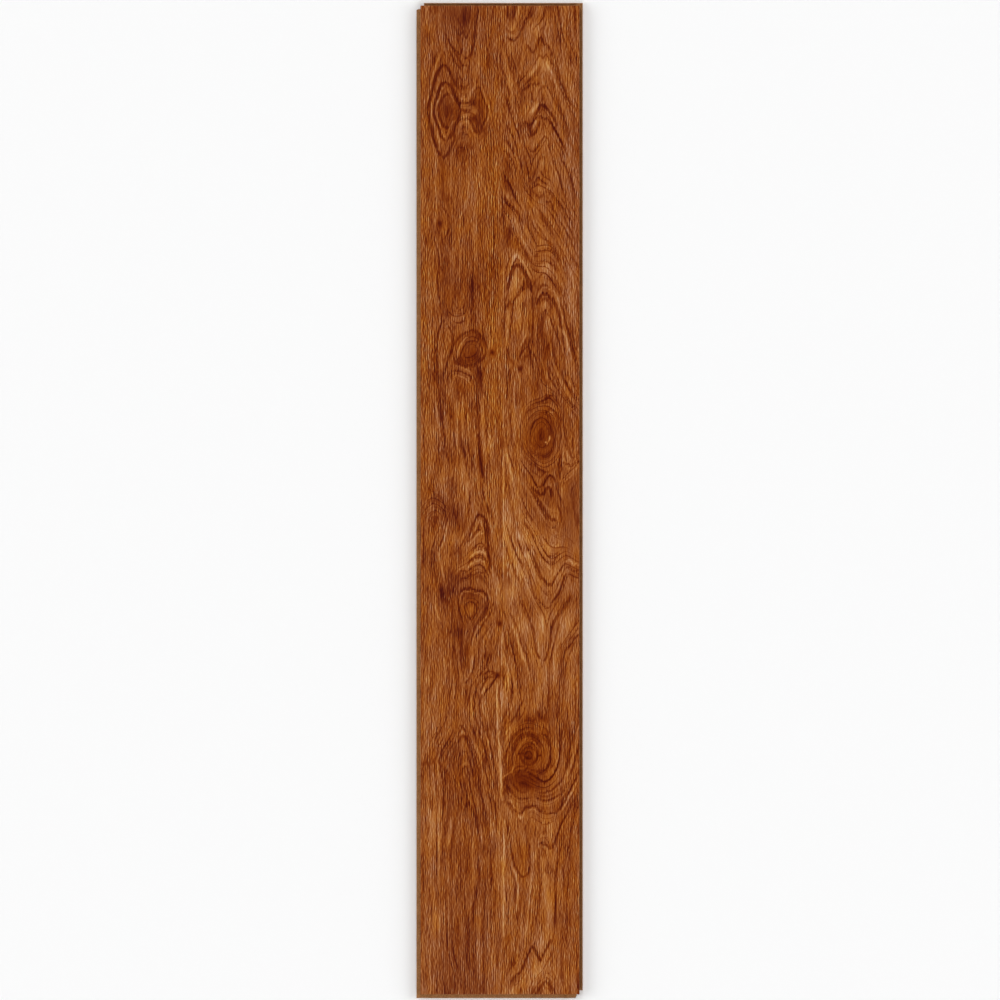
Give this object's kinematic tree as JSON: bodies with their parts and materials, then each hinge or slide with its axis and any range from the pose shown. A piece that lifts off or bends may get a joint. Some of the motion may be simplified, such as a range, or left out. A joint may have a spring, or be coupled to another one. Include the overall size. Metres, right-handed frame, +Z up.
{
  "type": "laminate floor plank",
  "caption": "Long flat laminate floor plank with a reddish-brown wood-grain face, bevelled edges and a click tongue-and-groove joint on its long sides and ends.",
  "frame": {"origin": "on the underside, below the middle of the printed face", "axes": "+X across the plank towards the long groove, +Y along the plank towards the end groove, +Z up out of the printed face"},
  "size_m": [0.205, 1.227, 0.012],
  "materials": {
    "laminate": "satin"
  },
  "bodies": {
    "root": {"plank": "laminate"}
  },
  "joints": []
}
